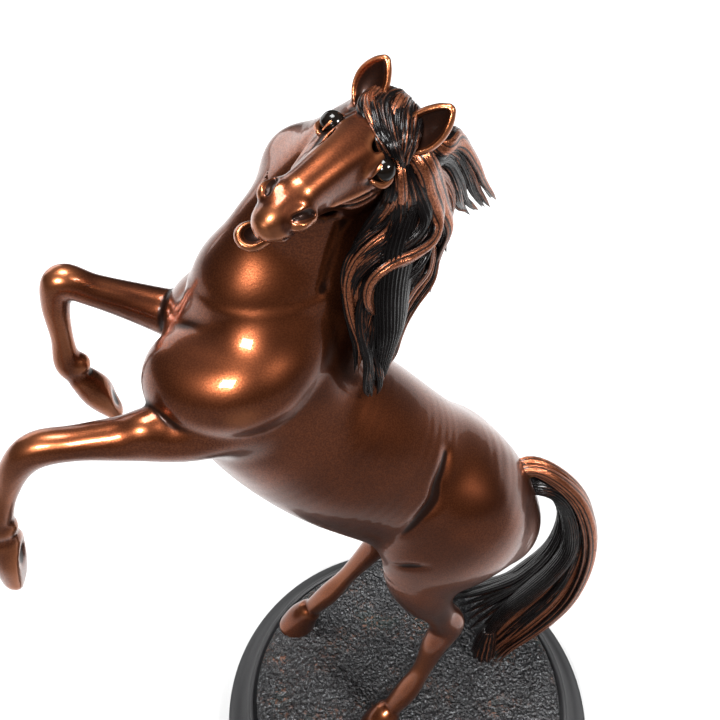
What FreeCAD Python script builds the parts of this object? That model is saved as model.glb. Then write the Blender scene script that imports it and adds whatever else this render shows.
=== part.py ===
import FreeCAD, Part
import os
import Sketcher
from FreeCAD import Placement, Rotation, Vector

# Rearing horse statue: lost-wax castings doweled together, standing on a turf
# casting let into a turned plinth.  Millimetres.  +Z up, origin at the centre of
# the plinth's underside, the horse faces -X with its left side toward -Y.

os.makedirs("parts", exist_ok=True)
doc = FreeCAD.newDocument("rearing_horse")
sheet = doc.addObject("Spreadsheet::Sheet", "Sizes")
pieces = []


# ---------------------------------------------------------------- sizes
def cell(alias, value):
    """Write one plain number to the next row of the sheet and name it."""
    cell.row += 1
    sheet.set("A%d" % cell.row, alias)
    sheet.set("B%d" % cell.row, str(value))
    sheet.setAlias("B%d" % cell.row, alias)
    return alias


cell.row = 0

for alias, value in [
    ("plinth_radius", 70.0), ("plinth_top_radius", 61.2), ("plinth_foot_height", 7.0),
    ("plinth_shoulder", 13.0), ("plinth_height", 16.0), ("rebate_radius", 58.6), ("rebate_floor", 12.0),
    ("felt_radius", 68.0), ("felt_thick", 1.0),
    ("ground_radius", 58.4), ("ground_edge", 17.4), ("ground_top", 18.5), ("ground_slope_radius", 55.0),
    ("well_radius", 7.0), ("well_ceiling", 7.0), ("stud_clearance_radius", 2.25),
    ("stud_radius", 2.0), ("stud_low", 2.2), ("stud_length", 23.8),
    ("washer_radius", 5.4), ("washer_thick", 0.8), ("nut_flat_radius", 4.04), ("nut_thick", 3.0),
    ("near_stud_x", -13.0), ("near_stud_y", -12.3), ("far_stud_x", -38.0), ("far_stud_y", 34.0),
    ("tail_stud_x", 33.0), ("tail_stud_y", 9.0),
    ("leg_dowel_radius", 2.5), ("leg_dowel_length", 24.0),
    ("neck_dowel_radius", 3.0), ("neck_dowel_length", 20.0),
    ("tail_dowel_radius", 1.75), ("tail_dowel_length", 15.0),
]:
    cell(alias, value)
doc.recompute()


def bind(thing, **places):
    """Tie each property of a document object to an expression on the sheet."""
    for path, formula in places.items():
        thing.setExpression(path.replace("__", "."), formula)
    return thing


def own_plane(body, role):
    return [f for f in body.Origin.OriginFeatures if f.Role == role][0]


def flat_sketch(body, name, role, height=None):
    """A sketch on one of the body's own planes, lifted to a height from the sheet."""
    sketch = body.newObject("Sketcher::SketchObject", name)
    sketch.AttachmentSupport = (own_plane(body, role), [""])
    sketch.MapMode = "FlatFace"
    if height:
        sketch.setExpression("AttachmentOffset.Base.z", height)
    return sketch


def turned_body(label, corners):
    """A body turned about Z from a closed profile of (radius, height) formulas."""
    body = doc.addObject("PartDesign::Body", label)
    sketch = flat_sketch(body, label + "_profile", "XZ_Plane")
    start = [(10.0 + 3 * i, 2.0 * (i % 2)) for i in range(len(corners))]
    for i, (u, v) in enumerate(start):
        end = start[(i + 1) % len(start)]
        sketch.addGeometry(Part.LineSegment(Vector(u, v, 0), Vector(end[0], end[1], 0)), False)
    for i in range(len(corners)):
        sketch.addConstraint(Sketcher.Constraint("Coincident", i, 2, (i + 1) % len(corners), 1))
    for i, (radius, height) in enumerate(corners):
        across = sketch.addConstraint(Sketcher.Constraint("DistanceX", -1, 1, i, 1, start[i][0]))
        up = sketch.addConstraint(Sketcher.Constraint("DistanceY", -1, 1, i, 1, start[i][1]))
        sketch.setExpression("Constraints[%d]" % across, radius)
        sketch.setExpression("Constraints[%d]" % up, height)
    turn = body.newObject("PartDesign::Revolution", label + "_turning")
    turn.Profile = sketch
    turn.ReferenceAxis = (sketch, ["V_Axis"])
    turn.Angle = 360
    body.Tip = turn
    return body


STUDS = [("near_stud_x", "near_stud_y"), ("far_stud_x", "far_stud_y"), ("tail_stud_x", "tail_stud_y")]


def bored(body, name, radius, height):
    """Round holes at the three studs, cut downward from a height."""
    sketch = flat_sketch(body, name + "_circles", "XY_Plane", height)
    for i, (x, y) in enumerate(STUDS):
        x_now, y_now = sheet.get(x), sheet.get(y)
        sketch.addGeometry(Part.Circle(Vector(x_now, y_now, 0), Vector(0, 0, 1), 2.0), False)
        rows = [
            (Sketcher.Constraint("DistanceX", -1, 1, i, 3, x_now), "Sizes." + x),
            (Sketcher.Constraint("DistanceY", -1, 1, i, 3, y_now), "Sizes." + y),
            (Sketcher.Constraint("Radius", i, 2.0), "Sizes." + radius),
        ]
        for constraint, formula in rows:
            number = sketch.addConstraint(constraint)
            sketch.setExpression("Constraints[%d]" % number, formula)
    pocket = body.newObject("PartDesign::Pocket", name)
    pocket.Profile = sketch
    pocket.Type = "ThroughAll"
    body.Tip = pocket



def keep(thing, label):
    thing.Label = label
    pieces.append(thing)
    return thing


# ---------------------------------------------------------------- plinth and felt
plinth = turned_body("plinth", [
    ("0.01", "Sizes.felt_thick"),
    ("Sizes.plinth_radius - 0.8", "Sizes.felt_thick"),
    ("Sizes.plinth_radius", "Sizes.felt_thick + 0.8"),
    ("Sizes.plinth_radius", "Sizes.plinth_foot_height - 1"),
    ("Sizes.plinth_radius - 1", "Sizes.plinth_foot_height"),
    ("Sizes.plinth_top_radius + 3.4", "Sizes.plinth_foot_height + 1.6"),
    ("Sizes.plinth_top_radius + 0.8", "Sizes.plinth_shoulder - 1.5"),
    ("Sizes.plinth_top_radius", "Sizes.plinth_shoulder + 1.6"),
    ("Sizes.plinth_top_radius - 0.6", "Sizes.plinth_height"),
    ("Sizes.rebate_radius", "Sizes.plinth_height"),
    ("Sizes.rebate_radius", "Sizes.rebate_floor"),
    ("0.01", "Sizes.rebate_floor"),
])
bored(plinth, "plinth_stud_holes", "stud_clearance_radius", "Sizes.plinth_height + 10")
bored(plinth, "plinth_nut_wells", "well_radius", "Sizes.well_ceiling")
keep(plinth, "plinth")

felt = doc.addObject("Part::Cylinder", "felt_disc")
bind(felt, Radius="Sizes.felt_radius", Height="Sizes.felt_thick")
keep(felt, "plinth_felt")

# ---------------------------------------------------------------- turf casting
ground = turned_body("ground", [
    ("0.01", "Sizes.rebate_floor"),
    ("Sizes.ground_radius", "Sizes.rebate_floor"),
    ("Sizes.ground_radius", "Sizes.ground_edge"),
    ("Sizes.ground_slope_radius", "Sizes.ground_top"),
    ("0.01", "Sizes.ground_top"),
])
bored(ground, "ground_stud_holes", "stud_clearance_radius", "Sizes.ground_top + 10")
keep(ground, "ground_casting")


# ---------------------------------------------------------------- lofted castings
def lofted(name, rows, deep=True, side=(0, 1, 0), flat_end=False, ruled=False):
    """A casting lofted through ellipses.

    Each row is x, y, z, half width along the side direction, half depth.  Every
    section stands square to the path; the long axis lies along the depth when
    deep is true and along the side when it is false.  Limbs are ruled from
    section to section, because their bends are tight.
    """
    sections = []
    last = len(rows) - 1
    for i, row in enumerate(rows):
        here = Vector(*row[:3])
        path = Vector(*rows[min(i + 1, last)][:3]) - Vector(*rows[max(i - 1, 0)][:3])
        if flat_end and i == last:
            path = Vector(0, 0, -1)
        path.normalize()
        flank = side[i] if isinstance(side[0], tuple) else side
        across = Vector(*flank)
        across = across - path * across.dot(path)
        across.normalize()
        down = path.cross(across)
        long_way = down if deep else across
        names = [cell("%s_%s_%d" % (name, what, i), value) for what, value in
                 zip(("x", "y", "z", "wide", "deep"), row)]
        oval = doc.addObject("Part::Ellipse", "%s_section_%d" % (name, i))
        turn = Rotation(long_way, path.cross(long_way), path, "XYZ")
        oval.Placement = Placement(here, turn)
        wide, tall = "Sizes." + names[3], "Sizes." + names[4]
        bind(oval, Placement__Base__x="Sizes." + names[0], Placement__Base__y="Sizes." + names[1],
             Placement__Base__z="Sizes." + names[2], MajorRadius=tall if deep else wide,
             MinorRadius=wide if deep else tall)
        sections.append(oval)
    loft = doc.addObject("Part::Loft", name)
    loft.Sections = sections
    loft.Solid = True
    loft.Ruled = ruled
    return loft


def oval_ball(name, centre, radii, lean):
    """An ellipsoid muscle: radii along its own X, Y and Z, leaned about Y."""
    ball = doc.addObject("Part::Ellipsoid", name)
    ball.Placement = Placement(Vector(*centre), Rotation(Vector(0, 1, 0), lean))
    for what, value in zip(("x", "y", "z"), centre):
        ball.setExpression("Placement.Base." + what, "Sizes." + cell("%s_%s" % (name, what), value))
    for path, tag, value in (("Radius2", "long", radii[0]), ("Radius3", "wide", radii[1]),
                             ("Radius1", "tall", radii[2])):
        ball.setExpression(path, "Sizes." + cell("%s_%s" % (name, tag), value))
    return ball


def joined(name, shapes):
    fuse = doc.addObject("Part::MultiFuse", name)
    fuse.Shapes = shapes
    return fuse


def less(name, base, tools):
    """The base with every tool cut out of it in turn."""
    for i, tool in enumerate(tools):
        cut = doc.addObject("Part::Cut", "%s_%d" % (name, i))
        cut.Base = base
        cut.Tool = tool
        base = cut
    return base


def pin(name, start, end, radius, length):
    """A round dowel from one point toward another."""
    a, b = Vector(*start), Vector(*end)
    rod = doc.addObject("Part::Cylinder", name)
    rod.Placement = Placement(a, Rotation(Vector(0, 0, 1), b - a))
    for what, value in zip(("x", "y", "z"), start):
        rod.setExpression("Placement.Base." + what, "Sizes." + cell("%s_%s" % (name, what), value))
    return bind(rod, Radius="Sizes." + radius, Height="Sizes." + length)


# Dowels: each runs from inside one casting, through its wall, into the next.
near_fore_pin = pin("near_fore_pin", (-43, -3.5, 190.5), (-66, -9.5, 188), "leg_dowel_radius", "leg_dowel_length")
far_fore_pin = pin("far_fore_pin", (-43, 19.5, 189), (-66, 24.5, 197), "leg_dowel_radius", "leg_dowel_length")
near_hind_pin = pin("near_hind_pin", (6, -7, 122), (1, -9, 98), "leg_dowel_radius", "leg_dowel_length")
far_hind_pin = pin("far_hind_pin", (-1, 22.5, 122), (-12, 27, 98), "leg_dowel_radius", "leg_dowel_length")
neck_pin = pin("neck_pin", (-45, 8, 193), (-36, 8.5, 213), "neck_dowel_radius", "neck_dowel_length")
head_pin = pin("head_pin", (-27, 10.5, 238), (-17, 1, 252), "neck_dowel_radius", "neck_dowel_length")
tail_pin = pin("tail_pin", (25, 8, 129.5), (38, 8.3, 131), "tail_dowel_radius", "tail_dowel_length")

# Trunk: one hollow barrel from the rump to the chest, with the haunch and
# shoulder muscles, cored so that its cavity opens at the neck.
barrel = lofted("barrel", [
    (31, 8, 106, 9, 10), (24, 8, 114, 16, 17), (10, 8, 129, 22, 23), (-7, 8, 144, 22, 24.5),
    (-23, 8, 160, 23, 25.5), (-37, 8, 176, 22, 24), (-47, 8, 190, 18, 20), (-54, 8, 198, 11, 12),
])
muscles = []
for tag, sign in (("near", -1), ("far", 1)):
    muscles.append(oval_ball(tag + "_haunch", (9, 8 + sign * 13, 125), (17, 11, 22), 42))
    muscles.append(oval_ball(tag + "_shoulder", (-41, 8 + sign * 12, 189), (14, 9, 18), 42))
trunk_skin = joined("trunk_skin", [barrel] + muscles)
cavity = lofted("cavity", [
    (22, 8, 116, 10, 11), (10, 8, 129, 16, 17), (-7, 8, 144, 16, 18.5),
    (-23, 8, 160, 17, 19.5), (-37, 8, 176, 16, 18), (-45, 8, 188, 11, 12),
])
core_hole = pin("core_hole", (-40, 8, 180), (-30, 8, 208), "well_radius", "leg_dowel_length")

# Neck, head and hair.
neck_loft = lofted("neck_loft", [
    (-41, 8, 193, 13, 21), (-36, 8, 207, 12.5, 22), (-30, 9, 221, 11.5, 20.5), (-24.5, 9.5, 233, 11, 18),
    (-19, 9, 244, 10.5, 14.5), (-14, 6, 252, 8.5, 9.5),
], side=[(0, 1, 0), (0, 1, 0), (-.1, .99, .1), (-.25, .9, .25), (-.45, .8, .4), (-.6, .6, .45)])

FACE = (Vector(-0.689, -0.725, 0.016), Vector(0.637, -0.616, -0.463), Vector(0.346, -0.309, 0.886))
HEAD_SCALE = 0.915


def on_head(rows):
    """Rows given as forward, left, up from the poll, turned into the statue's axes."""
    out = []
    for forward, left, up, wide, deep in rows:
        spot = Vector(-9.2, 3.2, 259.2)
        spot = spot + (FACE[0] * forward + FACE[1] * left + FACE[2] * up) * HEAD_SCALE
        out.append((round(spot.x, 3), round(spot.y, 3), round(spot.z, 3),
                    round(wide * HEAD_SCALE, 3), round(deep * HEAD_SCALE, 3)))
    return out


head_side = tuple(FACE[1])
skull = lofted("skull", on_head([
    (0, 0, -7.5, 6.6, 7), (8, 0, -9.5, 8.6, 9.5), (16, 0, -9.5, 8.2, 9.5), (24, 0, -8.6, 6.2, 7.4),
    (32, 0, -8.4, 5, 5.8), (38, 0, -9, 4.8, 5.2), (43, 0, -10, 3.8, 4.4),
]), side=head_side)
jaw = lofted("jaw", on_head([
    (14, 0, -15, 3.8, 4), (26, 0, -16, 3, 3.4), (34, 0, -17.2, 2.6, 2.8), (41, 0, -19.5, 2, 2.2),
]), side=head_side)
ears = []
for tag, sign in (("left", 1), ("right", -1)):
    ears.append(lofted(tag + "_ear", on_head([
        (4.5, sign * 5, -4, 3.4, 2.6), (3, sign * 7.2, 0.5, 3.7, 2.0), (1.5, sign * 8.2, 4.5, 3, 1.6),
        (0.5, sign * 8.8, 8, 1.2, 0.8),
    ]), deep=False, side=head_side))
head_skin = joined("head_skin", [skull, jaw] + ears)

# Limbs, tail and hair: each is cut to the skin of the casting it meets.
near_fore = lofted("near_fore", [
    (-46, -7, 192, 8, 10), (-60, -9, 188, 7, 8.2), (-74, -10, 189, 5.2, 6), (-86, -10, 189.5, 4.2, 4.4),
    (-95, -10, 189, 4.1, 4.6), (-101, -10, 184, 3.5, 3.8), (-106, -10, 175, 2.8, 3.0),
    (-110, -10, 167, 3.3, 3.8), (-111.5, -10, 160, 2.8, 3.1), (-113, -10, 154, 4.2, 4.6),
    (-114.5, -10, 142, 5.4, 5.9),
], ruled=True)
far_fore = lofted("far_fore", [
    (-46, 22, 189, 8, 9), (-60, 24, 195, 6, 7), (-72, 25, 202, 4.6, 5.2), (-80, 25, 207.3, 4.0, 4.3),
    (-86, 25, 210, 3.8, 4.1), (-90, 25, 208.5, 3.6, 3.9), (-91.8, 25, 203.5, 3.3, 3.7), (-92, 25, 193, 2.7, 2.9),
    (-92, 25, 183, 3.1, 3.6), (-90, 25, 178, 2.7, 2.9), (-87, 25, 173, 3.9, 4.2), (-83, 25, 164, 4.6, 5),
], ruled=True)
near_hind = lofted("near_hind", [
    (8, -5, 131, 9, 18), (4, -8, 121, 9, 17), (0, -9, 111, 8, 13), (1, -9, 100, 7, 9),
    (6, -7.5, 86, 5.0, 5.6), (10, -7, 75, 4.4, 6.0), (6, -8, 64, 4, 4.6), (2, -9, 50, 3.2, 3.4),
    (-3, -10, 38, 3.9, 4.3), (-8, -11, 30, 3.5, 3.6), (-12, -12, 24, 5.4, 6), (-14, -12.5, 18.5, 6, 7),
], flat_end=True, ruled=True)
far_hind = lofted("far_hind", [
    (6, 21, 131, 9, 17), (-2, 24, 121, 9, 16), (-10, 26, 110, 8, 12), (-12, 27, 98, 6.5, 8.5),
    (-7, 28, 86, 4.8, 5.5), (-5, 29, 78, 4.4, 6.0), (-10, 30, 68, 4, 4.6), (-18, 31, 54, 3.2, 3.4),
    (-25, 32, 42, 3.9, 4.3), (-31, 33, 33, 3.5, 3.6), (-36, 34, 25, 5.4, 6), (-39, 34, 18.5, 6, 7),
], flat_end=True, ruled=True)
tail_loft = lofted("tail_loft", [
    (28, 8, 130, 3.2, 3.5), (36.5, 8.5, 131, 3.4, 3.7), (44.5, 9, 124, 4.4, 5), (51.5, 9, 109, 5.5, 6.5),
    (55, 9, 91, 7, 8), (52.5, 9, 75, 8, 9.5), (46.5, 9, 60, 8.5, 11), (40, 9, 47, 9, 12),
    (35, 9, 34, 9, 12), (31, 9, 18.5, 8, 11),
], flat_end=True, ruled=True)
mane_loft = lofted("mane_loft", [
    (-8, -1, 252, 8, 4.5), (-7, -1, 243, 10, 6), (-9, -2, 234, 12, 6), (-11, -1, 222, 12, 6),
    (-12, -1, 209, 10, 5.5), (-14, -3, 196, 6, 4), (-15, -5, 188, 3, 2.4),
], deep=False, side=(0.83, 0.56, 0))
flying_lock = lofted("flying_lock", [
    (-3, 2, 249, 5, 3), (4, 8, 244, 6, 3.4), (8.5, 13, 237, 6, 3), (12.5, 17, 230, 4.5, 2.2),
    (16, 20, 224, 2, 1.2),
], deep=False, side=(0.83, 0.4, 0.4))
mane_skin = joined("mane_skin", [mane_loft, flying_lock])
forelock_loft = lofted("forelock_loft", on_head([
    (1, 2, -1, 5, 2.4), (7, 2.5, 0.2, 6, 2), (13, 4, -0.6, 5, 1.8), (19, 6, -2.2, 2, 1),
]), deep=False, side=head_side)

studs = []
for number, (x, y) in enumerate(STUDS):
    rod = doc.addObject("Part::Cylinder", "stud_%d" % number)
    bind(rod, Radius="Sizes.stud_radius", Height="Sizes.stud_length", Placement__Base__x="Sizes." + x,
         Placement__Base__y="Sizes." + y, Placement__Base__z="Sizes.stud_low")
    studs.append(rod)

keep(less("trunk", trunk_skin, [
    cavity, core_hole, neck_pin, near_fore_pin, far_fore_pin, near_hind_pin, far_hind_pin, tail_pin,
]), "trunk_casting")
keep(less("neck", neck_loft, [trunk_skin, head_skin, neck_pin, head_pin]), "neck_casting")
keep(less("head", head_skin, [head_pin]), "head_casting")
keep(less("forelock", forelock_loft, [head_skin]), "forelock_casting")
keep(less("mane", mane_skin, [head_skin, neck_loft, trunk_skin, forelock_loft]), "mane_casting")
keep(less("left_fore", near_fore, [trunk_skin, near_fore_pin]), "left_foreleg")
keep(less("right_fore", far_fore, [trunk_skin, far_fore_pin]), "right_foreleg")
keep(less("left_hind", near_hind, [trunk_skin, near_hind_pin, studs[0]]), "left_hind_leg")
keep(less("right_hind", far_hind, [trunk_skin, far_hind_pin, studs[1]]), "right_hind_leg")
keep(less("tail", tail_loft, [trunk_skin, tail_pin, studs[2]]), "tail_casting")


# ---------------------------------------------------------------- dowels and fixings
def grouped(label, members):
    """Separate like pieces kept together as one compound."""
    group = doc.addObject("Part::Compound", label + "_group")
    group.Links = members
    return keep(group, label)


grouped("leg_dowels", [near_fore_pin, far_fore_pin, near_hind_pin, far_hind_pin])
grouped("neck_dowels", [neck_pin, head_pin])
keep(tail_pin, "tail_dowel")
grouped("mounting_studs", studs)

washers = []
nuts = []
for number, (x, y) in enumerate(STUDS):
    disc = doc.addObject("Part::Cylinder", "washer_disc_%d" % number)
    bind(disc, Radius="Sizes.washer_radius", Height="Sizes.washer_thick", Placement__Base__x="Sizes." + x,
         Placement__Base__y="Sizes." + y, Placement__Base__z="Sizes.well_ceiling - Sizes.washer_thick")
    washers.append(less("washer_%d" % number, disc, [studs[number]]))
    hexagon = doc.addObject("Part::Prism", "nut_block_%d" % number)
    hexagon.Polygon = 6
    bind(hexagon, Circumradius="Sizes.nut_flat_radius", Height="Sizes.nut_thick",
         Placement__Base__x="Sizes." + x, Placement__Base__y="Sizes." + y,
         Placement__Base__z="Sizes.well_ceiling - Sizes.washer_thick - Sizes.nut_thick")
    nuts.append(less("nut_%d" % number, hexagon, [studs[number]]))
grouped("stud_washers", washers)
grouped("stud_nuts", nuts)

# ---------------------------------------------------------------- check and export
doc.recompute()
for thing in doc.Objects:
    if "Invalid" in thing.State or "Error" in thing.State:
        raise RuntimeError("%s does not recompute: %s" % (thing.Name, thing.State))
for thing in pieces:
    shape = thing.Shape
    if shape.isNull() or not shape.isValid():
        raise RuntimeError("%s has no valid shape" % thing.Label)
    shape.exportStep("parts/%s.step" % thing.Label)
    print(thing.Label, len(shape.Solids), round(shape.Volume, 1))
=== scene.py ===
import bpy
import numpy as np
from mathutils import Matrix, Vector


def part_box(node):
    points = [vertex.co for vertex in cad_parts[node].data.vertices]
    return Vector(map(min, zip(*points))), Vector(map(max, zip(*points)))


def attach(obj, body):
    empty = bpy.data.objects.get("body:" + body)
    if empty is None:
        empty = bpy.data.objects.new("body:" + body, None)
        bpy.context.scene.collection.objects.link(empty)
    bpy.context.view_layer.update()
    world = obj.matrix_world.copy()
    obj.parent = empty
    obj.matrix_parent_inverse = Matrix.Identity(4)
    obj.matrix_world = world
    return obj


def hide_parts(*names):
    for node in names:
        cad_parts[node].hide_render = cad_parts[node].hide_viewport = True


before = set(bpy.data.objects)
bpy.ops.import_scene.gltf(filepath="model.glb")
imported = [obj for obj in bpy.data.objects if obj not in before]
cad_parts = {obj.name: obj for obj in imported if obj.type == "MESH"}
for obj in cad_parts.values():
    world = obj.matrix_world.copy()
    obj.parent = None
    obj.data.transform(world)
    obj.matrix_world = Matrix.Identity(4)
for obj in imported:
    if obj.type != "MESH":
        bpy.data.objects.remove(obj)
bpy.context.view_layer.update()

import openvdb
from mathutils import Matrix, Vector

# ------------------------------------------------------------------ plinth and felt
# The plinth is turned from hardwood: a flat foot band, a long sloping cove and a
# raised bead around the recess that the turf casting drops into.  It is sprayed
# with matte black lacquer, and black felt is glued to its underside.

MM = 0.001


def turned(profile, steps=288):
    """A profile of (radius, height) turned about Z: x = r cos a, y = r sin a, z = height."""
    profile = np.asarray(profile, float)
    angle = np.linspace(0, 2 * np.pi, steps, endpoint=False)
    radius, height = profile[:, :1], profile[:, 1:]
    points = np.stack([radius * np.cos(angle), radius * np.sin(angle), height + 0 * angle], -1)
    return points


def grid_faces(rows, columns, closed=True):
    """Quads between neighbouring rows and columns of a grid; closed joins the last column to the first."""
    row = np.arange(rows - 1)[:, None]
    column = np.arange(columns if closed else columns - 1)[None, :]
    beside = (column + 1) % columns
    corners = [row * columns + column, row * columns + beside,
               (row + 1) * columns + beside, (row + 1) * columns + column]
    return np.stack(np.broadcast_arrays(*corners), -1).reshape(-1, 4)


def closed_grid(rows, columns):
    """The faces of a tube of rings, with both end rings closed by one face each."""
    ends = [np.arange(columns)[::-1], (rows - 1) * columns + np.arange(columns)]
    return list(grid_faces(rows, columns)) + ends


def piece(name, points, faces, finish, nodes=(), layers=None, normals=None):
    """A finished piece from points in millimetres; layers are named values, one to a point."""
    mesh = bpy.data.meshes.new(name)
    counts = np.array([len(f) for f in faces]) if isinstance(faces, list) else np.full(len(faces), 4)
    corners = np.concatenate(faces) if isinstance(faces, list) else faces.reshape(-1)
    mesh.vertices.add(len(points))
    mesh.vertices.foreach_set("co", (np.asarray(points) * MM).astype(np.float32).ravel())
    mesh.loops.add(len(corners))
    mesh.loops.foreach_set("vertex_index", corners.astype(np.int32))
    mesh.polygons.add(len(counts))
    mesh.polygons.foreach_set("loop_start", (np.cumsum(counts) - counts).astype(np.int32))
    mesh.update(calc_edges=True)
    mesh.validate()
    mesh.shade_smooth()
    for layer, values in (layers or {}).items():
        held = mesh.attributes.new(layer, "FLOAT", "POINT")
        held.data.foreach_set("value", np.asarray(values, np.float32))
    if normals is not None:
        mesh.normals_split_custom_set_from_vertices(np.asarray(normals).tolist())
    thing = bpy.data.objects.new(name, mesh)
    bpy.context.scene.collection.objects.link(thing)
    mesh.materials.append(finish)
    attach(thing, "root")
    if nodes:
        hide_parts(*nodes)
    return thing


class Wire:
    """One value running between a finish's nodes; arithmetic on it adds Math nodes."""

    def __init__(self, tree, socket):
        self.tree, self.socket = tree, socket

    def math(self, operation, *values):
        node = self.tree.nodes.new("ShaderNodeMath")
        node.operation = operation
        for plug, value in zip(node.inputs, values):
            if isinstance(value, Wire):
                self.tree.links.new(value.socket, plug)
            else:
                plug.default_value = value
        return Wire(self.tree, node.outputs[0])

    def __add__(self, other):
        return self.math("ADD", self, other)

    def __sub__(self, other):
        return self.math("SUBTRACT", self, other)

    def __mul__(self, other):
        return self.math("MULTIPLY", self, other)

    def __radd__(self, other):
        return self.math("ADD", other, self)

    def __rsub__(self, other):
        return self.math("SUBTRACT", other, self)

    def __rmul__(self, other):
        return self.math("MULTIPLY", other, self)

    def rise(self, low, high):
        """0 at low, 1 at high, eased and held between."""
        return self.node("ShaderNodeMapRange", {"interpolation_type": "SMOOTHSTEP"},
                         {"Value": self, "From Min": low, "From Max": high})

    def node(self, kind, settings=None, values=None, out=0):
        """Any other node: its settings first, then the values or wires of its sockets."""
        node = self.tree.nodes.new(kind)
        for name, setting in (settings or {}).items():
            setattr(node, name, setting)
        for name, value in (values or {}).items():
            plug = node.inputs[name]
            if isinstance(value, Wire):
                self.tree.links.new(value.socket, plug)
            else:
                plug.default_value = value
        return Wire(self.tree, node.outputs[out])

    def blend(self, low, high):
        """The colour low where this value is 0 and high where it is 1."""
        return self.node("ShaderNodeMix", {"data_type": "RGBA", "clamp_factor": True},
                         {0: self, 6: low, 7: high}, out=2)


def new_finish(name, **constants):
    """A finish with one lacquered surface shader; returns it, a starting wire and a join function."""
    finish = bpy.data.materials.new(name)
    finish.use_nodes = True
    tree = finish.node_tree
    surface = tree.nodes["Principled BSDF"]
    for plug, value in constants.items():
        surface.inputs[plug.replace("_", " ")].default_value = value

    def join(plug, wire):
        tree.links.new(wire.socket, surface.inputs[plug])

    place = Wire(tree, tree.nodes.new("ShaderNodeTexCoord").outputs["Object"])
    return finish, place, join


def black_lacquer():
    """Sprayed matte black with a faint orange-peel skin and dust-fine grain showing through."""
    finish, place, join = new_finish("black_lacquer", Specular_IOR_Level=0.42)
    peel = place.node("ShaderNodeTexNoise", None, {"Vector": place, "Scale": 900.0, "Detail": 3.0})
    cloud = place.node("ShaderNodeTexNoise", None, {"Vector": place, "Scale": 45.0, "Detail": 4.0})
    join("Base Color", cloud.blend((0.013, 0.013, 0.014, 1), (0.022, 0.022, 0.023, 1)))
    join("Roughness", 0.40 + cloud * 0.12)
    join("Normal", place.node("ShaderNodeBump", None, {"Height": peel, "Strength": 0.12, "Distance": 0.0002}))
    return finish


foot_low, foot_high = (np.array(corner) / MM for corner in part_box("plinth"))
rim_radius = foot_high[0]
ground_low, ground_high = (np.array(corner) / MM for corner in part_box("ground_casting"))
ground_radius, ground_top = ground_high[0], ground_high[2]

quarter = np.linspace(0, np.pi / 2, 9)
foot_edge = np.stack([rim_radius - 0.9 + 0.9 * np.sin(quarter), foot_low[2] + 0.9 - 0.9 * np.cos(quarter)], 1)
band_edge = np.stack([rim_radius - 1.1 + 1.1 * np.cos(quarter), 5.9 + 1.1 * np.sin(quarter)], 1)
sweep = np.linspace(0, 1, 14)
cove = np.stack([68.2 - 6.2 * sweep ** 0.8, 7.0 + 6.2 * sweep ** 1.7], 1)
round_over = np.linspace(-0.15, 1, 14) * np.pi
bead = np.stack([60.7 + 1.15 * np.cos(round_over), 14.75 + 1.25 * np.sin(round_over)], 1)
recess = np.array([[ground_radius + 0.35, 14.4], [ground_radius + 0.3, 12.0]])
plinth_profile = np.concatenate([[[0.02, foot_low[2]]], foot_edge, band_edge, cove, bead, recess,
                                 [[0.02, 12.0]]])
lacquer = black_lacquer()
rings = turned(plinth_profile)
piece("turned_plinth", rings.reshape(-1, 3), closed_grid(*rings.shape[:2]), lacquer,
      ["plinth"])


def black_felt():
    """Pressed wool felt: matted fibres, no gloss."""
    finish, place, join = new_finish("black_felt", Roughness=0.95, Specular_IOR_Level=0.15, Sheen_Weight=0.4)
    fibre = place.node("ShaderNodeTexNoise", None, {"Vector": place, "Scale": 2500.0, "Detail": 4.0})
    join("Base Color", fibre.blend((0.008, 0.008, 0.009, 1), (0.03, 0.03, 0.032, 1)))
    join("Normal", place.node("ShaderNodeBump", None, {"Height": fibre, "Strength": 0.5, "Distance": 0.0003}))
    return finish


def dress(node, finish):
    """Gives a carried-over piece its finish, in the object's own material slots."""
    if not node.material_slots:
        node.data.materials.append(finish)
    for held in node.material_slots:
        held.link = "OBJECT"
        held.material = finish


dress(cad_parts["plinth_felt"], black_felt())


def drawn_rod(name, pale, deep, rough):
    """Drawn metal bar stock: fine die lines along the rod, a few darker clouds from handling."""
    finish, place, join = new_finish(name, Metallic=1.0)
    lines = place.node("ShaderNodeMapping", None, {"Vector": place, "Scale": (1.0, 1.0, 0.05)})
    drawn = place.node("ShaderNodeTexNoise", None, {"Vector": lines, "Scale": 2200.0, "Detail": 3.0})
    cloud = place.node("ShaderNodeTexNoise", None, {"Vector": place, "Scale": 260.0, "Detail": 2.0})
    join("Base Color", cloud.rise(0.3, 0.7).blend(pale, deep))
    join("Roughness", rough + drawn * 0.2)
    join("Normal",
         place.node("ShaderNodeBump", None, {"Height": drawn, "Strength": 0.25, "Distance": 0.0001}))
    return finish


# Hidden fixings: bronze dowels brazed in their holes; zinc-plated studs, washers and nuts.
rod_bronze = drawn_rod("rod_bronze", (0.30, 0.14, 0.06, 1), (0.17, 0.075, 0.035, 1), 0.32)
zinc_plate = drawn_rod("zinc_plate", (0.52, 0.53, 0.55, 1), (0.33, 0.34, 0.36, 1), 0.26)
for dowel in ("leg_dowels", "neck_dowels", "tail_dowel"):
    dress(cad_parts[dowel], rod_bronze)
for fixing in ("mounting_studs", "stud_washers", "stud_nuts"):
    dress(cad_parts[fixing], zinc_plate)

# ------------------------------------------------------------------ turf casting
# A bronze disc modelled as rough turf: short blades pressed in with a small tool,
# a few raised tussocks by the hooves, patinated almost black with copper rubbed
# on the tips and a breath of green in cloudy patches.

chance = np.random.default_rng(7)


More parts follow.
